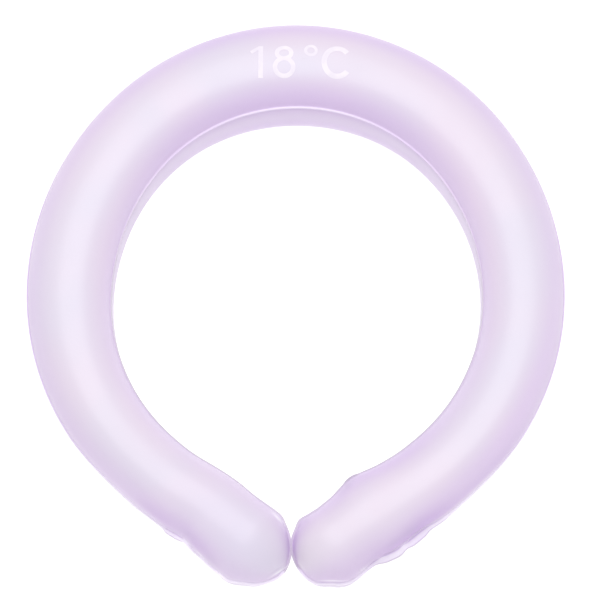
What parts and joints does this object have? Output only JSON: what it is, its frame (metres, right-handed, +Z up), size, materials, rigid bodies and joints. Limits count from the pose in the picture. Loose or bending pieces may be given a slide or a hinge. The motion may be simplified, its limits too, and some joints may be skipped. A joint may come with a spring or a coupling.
{
  "type": "neck cooling tube",
  "caption": "C-shaped neck cooling tube: two welded lilac films round a phase-change filling, open at the front.",
  "frame": {"origin": "on the floor, under the middle of the tube's outer size", "axes": "+Z up out of the ring, +Y towards the nape, the two free ends meet at -Y, X across the ring's width"},
  "size_m": [0.1691, 0.1861, 0.0297],
  "materials": {
    "film": "satin, slightly see-through",
    "filling": "cloudy wax"
  },
  "bodies": {
    "root": {"upper_film": "film", "lower_film": "film", "pcm_filling": "filling"}
  },
  "joints": []
}
